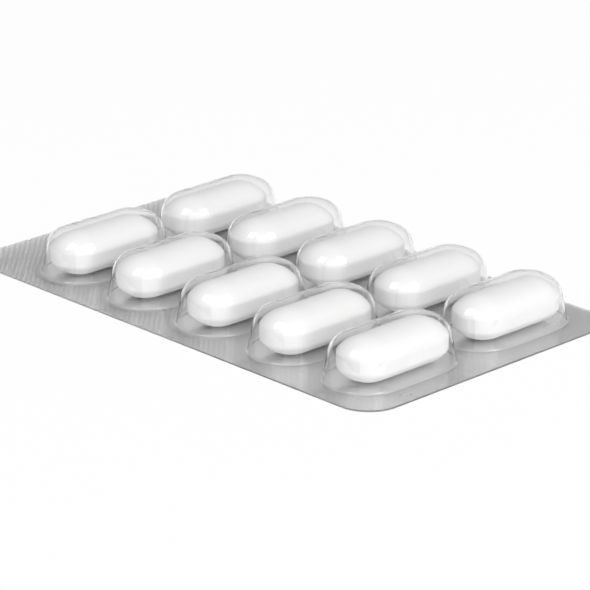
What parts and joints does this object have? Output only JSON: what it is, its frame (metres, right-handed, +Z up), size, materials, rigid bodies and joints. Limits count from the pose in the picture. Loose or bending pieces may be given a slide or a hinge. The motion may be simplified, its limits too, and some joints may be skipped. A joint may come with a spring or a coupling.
{
  "type": "tablet blister pack",
  "caption": "Flat pack of oblong coated tablets, each in a domed pocket of clear formed film that is sealed from below with aluminium foil.",
  "frame": {"origin": "centre of the pack's outline, on the underside of the foil", "axes": "+X along the rows of pockets, away from the end that is kept bare; +Y along the tablets, towards the back row; +Z up, from the foil to the pockets"},
  "size_m": [0.0928, 0.0554, 0.008],
  "materials": {
    "clear_film": "clear, glossy formed plastic film",
    "foil": "satin, embossed with a fine knurl where it is sealed",
    "tablet_coat": "white film coat with a soft gloss"
  },
  "bodies": {
    "root": {"blister_film": "clear_film", "lidding_foil": "foil", "tablet_1": "tablet_coat", "tablet_2": "tablet_coat", "tablet_3": "tablet_coat", "tablet_4": "tablet_coat", "tablet_5": "tablet_coat", "tablet_6": "tablet_coat", "tablet_7": "tablet_coat", "tablet_8": "tablet_coat", "tablet_9": "tablet_coat", "tablet_10": "tablet_coat"}
  },
  "joints": []
}
